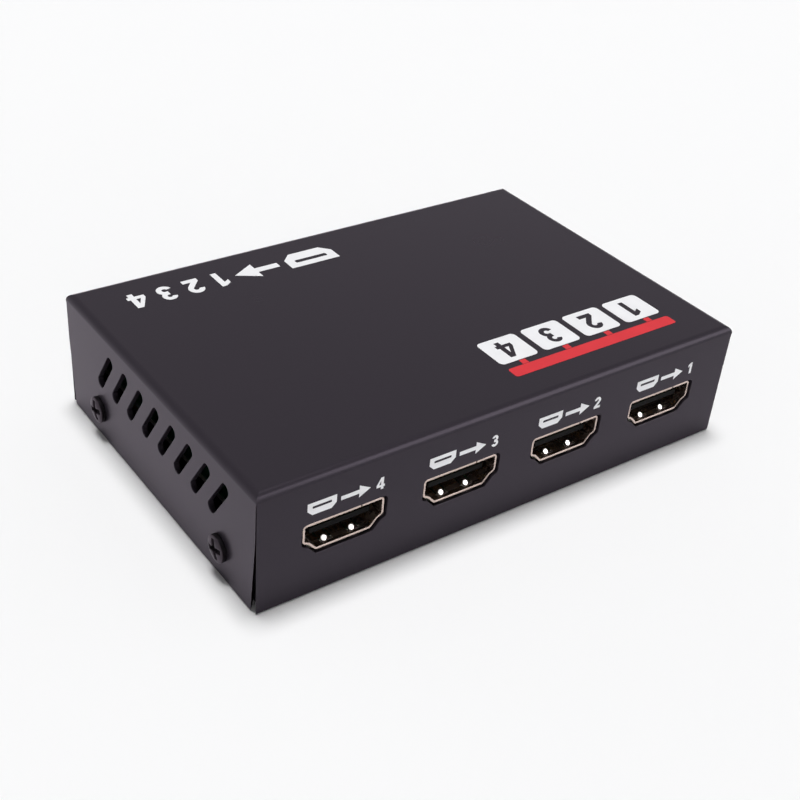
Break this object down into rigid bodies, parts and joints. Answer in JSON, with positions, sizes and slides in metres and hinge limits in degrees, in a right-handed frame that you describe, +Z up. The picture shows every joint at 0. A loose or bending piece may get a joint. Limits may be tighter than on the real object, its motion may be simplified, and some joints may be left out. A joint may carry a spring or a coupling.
{
  "type": "video splitter box",
  "caption": "Flat black sheet-metal box that copies one digital video input to several outputs, with a row of sockets in front, slanted side vents and a power jack behind.",
  "frame": {"origin": "middle of the underside, on the surface that the box stands on", "axes": "+X along the row of outputs, +Y from the outputs to the input at the back, +Z up"},
  "size_m": [0.1022, 0.0666, 0.023],
  "materials": {
    "case_paint": "fine-textured black powder paint on sheet steel",
    "black_steel": "blackened steel, bright where it is worn",
    "plated_steel": "nickel-plated sheet steel",
    "socket_plastic": "moulded black plastic",
    "contact_gold": "gold-flashed contact alloy",
    "spring_bronze": "plated spring bronze",
    "brass": "turned brass",
    "zinc_steel": "zinc-plated steel",
    "tinned_lead": "tin-plated",
    "bare_aluminium": "bare aluminium",
    "board_laminate": "green solder resist on glass laminate",
    "chip_plastic": "moulded chip package",
    "tan_ceramic": "fired chip ceramic",
    "pad_rubber": "soft heat-conducting pad",
    "lamp_red": "clear red lens",
    "white_ink": "screen-printed white ink",
    "red_ink": "screen-printed red ink"
  },
  "bodies": {
    "case": {"top_cover": "case_paint", "base_tray": "case_paint", "case_screws": "black_steel", "board_standoffs": "brass", "circuit_board": "board_laminate", "board_screws": "zinc_steel", "output_1_shell": "plated_steel", "output_1_insulator": "socket_plastic", "output_1_contacts": "contact_gold", "output_2_shell": "plated_steel", "output_2_insulator": "socket_plastic", "output_2_contacts": "contact_gold", "output_3_shell": "plated_steel", "output_3_insulator": "socket_plastic", "output_3_contacts": "contact_gold", "output_4_shell": "plated_steel", "output_4_insulator": "socket_plastic", "output_4_contacts": "contact_gold", "input_shell": "plated_steel", "input_insulator": "socket_plastic", "input_contacts": "contact_gold", "power_jack_housing": "socket_plastic", "power_jack_pin": "plated_steel", "power_jack_terminals": "plated_steel", "power_led_lens": "lamp_red", "power_led_leads": "tinned_lead", "power_led_holder": "socket_plastic", "splitter_chip": "chip_plastic", "splitter_chip_leads": "tinned_lead", "thermal_pad": "pad_rubber", "heat_sink": "bare_aluminium", "memory_chip": "chip_plastic", "memory_chip_leads": "tinned_lead", "clock_crystal": "zinc_steel", "crystal_base": "chip_plastic", "voltage_regulators": "chip_plastic", "regulator_leads": "tinned_lead", "smoothing_capacitors": "bare_aluminium", "capacitor_bases": "chip_plastic", "protection_chips": "chip_plastic", "chip_capacitors": "tan_ceramic", "chip_resistors": "chip_plastic"},
    "jack_spring": {"power_jack_spring": "spring_bronze"}
  },
  "joints": [
    {"name": "jack_spring_flex", "type": "hinge", "parent": "case", "child": "jack_spring", "pos_m": [0.03, 0.02075, 0.0103], "axis": [-1, 0, 0], "range_deg": [0, 6], "stiffness_Nm_per_rad": 0.05, "springref_deg": -1.72}
  ]
}
